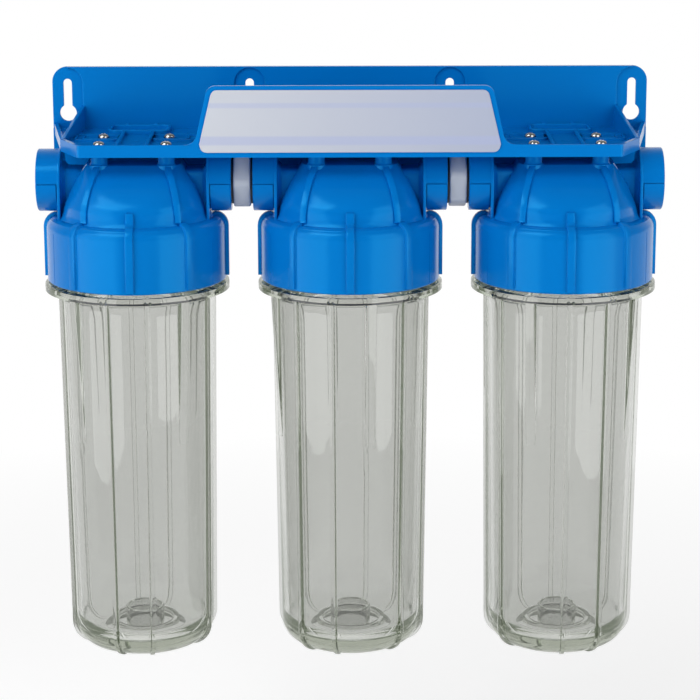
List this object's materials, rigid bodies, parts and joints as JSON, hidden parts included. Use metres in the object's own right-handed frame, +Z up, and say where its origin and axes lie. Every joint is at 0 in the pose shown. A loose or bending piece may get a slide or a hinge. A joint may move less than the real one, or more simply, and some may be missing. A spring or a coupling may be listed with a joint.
{
  "type": "whole house water filter",
  "caption": "Wall-hung inline water filter: clear sumps screwed under blue heads, linked by nipples below a moulded bracket with a label panel.",
  "frame": {"origin": "on the bracket's flat wall face, midway between its ends and level with the axis of the ports", "axes": "+X along the row from the inlet to the outlet, +Y into the wall, +Z up"},
  "size_m": [0.393, 0.1206, 0.3695],
  "materials": {
    "blue_plastic": "moulded, softly glossy",
    "clear_plastic": "clear, polished",
    "black_rubber": "smooth, matt",
    "pale_nylon": "moulded, satin",
    "plated_steel": "zinc plated, bright",
    "label_film": "printed film, satin"
  },
  "bodies": {
    "root": {"bracket": "blue_plastic", "label": "label_film", "bracket_screw_1a": "plated_steel", "bracket_screw_1b": "plated_steel", "bracket_screw_1c": "plated_steel", "bracket_screw_1d": "plated_steel", "bracket_screw_2a": "plated_steel", "bracket_screw_2b": "plated_steel", "bracket_screw_2c": "plated_steel", "bracket_screw_2d": "plated_steel", "bracket_screw_3a": "plated_steel", "bracket_screw_3b": "plated_steel", "bracket_screw_3c": "plated_steel", "bracket_screw_3d": "plated_steel", "head_1": "blue_plastic", "head_2": "blue_plastic", "head_3": "blue_plastic", "nipple_1": "pale_nylon", "nipple_2": "pale_nylon", "nipple_gasket_1_left": "black_rubber", "nipple_gasket_1_right": "black_rubber", "nipple_gasket_2_left": "black_rubber", "nipple_gasket_2_right": "black_rubber"},
    "seal_1": {"sump_seal_1": "black_rubber"},
    "sump_1": {"sump_1": "clear_plastic"},
    "seal_2": {"sump_seal_2": "black_rubber"},
    "sump_2": {"sump_2": "clear_plastic"},
    "seal_3": {"sump_seal_3": "black_rubber"},
    "sump_3": {"sump_3": "clear_plastic"}
  },
  "joints": [
    {"name": "sump_1_drop", "type": "slide", "parent": "root", "child": "seal_1", "axis": [0, 0, -1], "range_m": [0, 0.0181]},
    {"name": "sump_1_turn", "type": "hinge", "parent": "seal_1", "child": "sump_1", "pos_m": [-0.1355, -0.062, -0.06285], "axis": [0, 0, -1], "range_deg": [0, 1080]},
    {"name": "sump_2_drop", "type": "slide", "parent": "root", "child": "seal_2", "axis": [0, 0, -1], "range_m": [0, 0.0181]},
    {"name": "sump_2_turn", "type": "hinge", "parent": "seal_2", "child": "sump_2", "pos_m": [0, -0.062, -0.06285], "axis": [0, 0, -1], "range_deg": [0, 1080]},
    {"name": "sump_3_drop", "type": "slide", "parent": "root", "child": "seal_3", "axis": [0, 0, -1], "range_m": [0, 0.0181]},
    {"name": "sump_3_turn", "type": "hinge", "parent": "seal_3", "child": "sump_3", "pos_m": [0.1355, -0.062, -0.06285], "axis": [0, 0, -1], "range_deg": [0, 1080]}
  ],
  "couplings": [
    {"joint": "sump_1_drop", "follows": "sump_1_turn", "m_per_rad": 0.00095493},
    {"joint": "sump_2_drop", "follows": "sump_2_turn", "m_per_rad": 0.00095493},
    {"joint": "sump_3_drop", "follows": "sump_3_turn", "m_per_rad": 0.00095493}
  ]
}
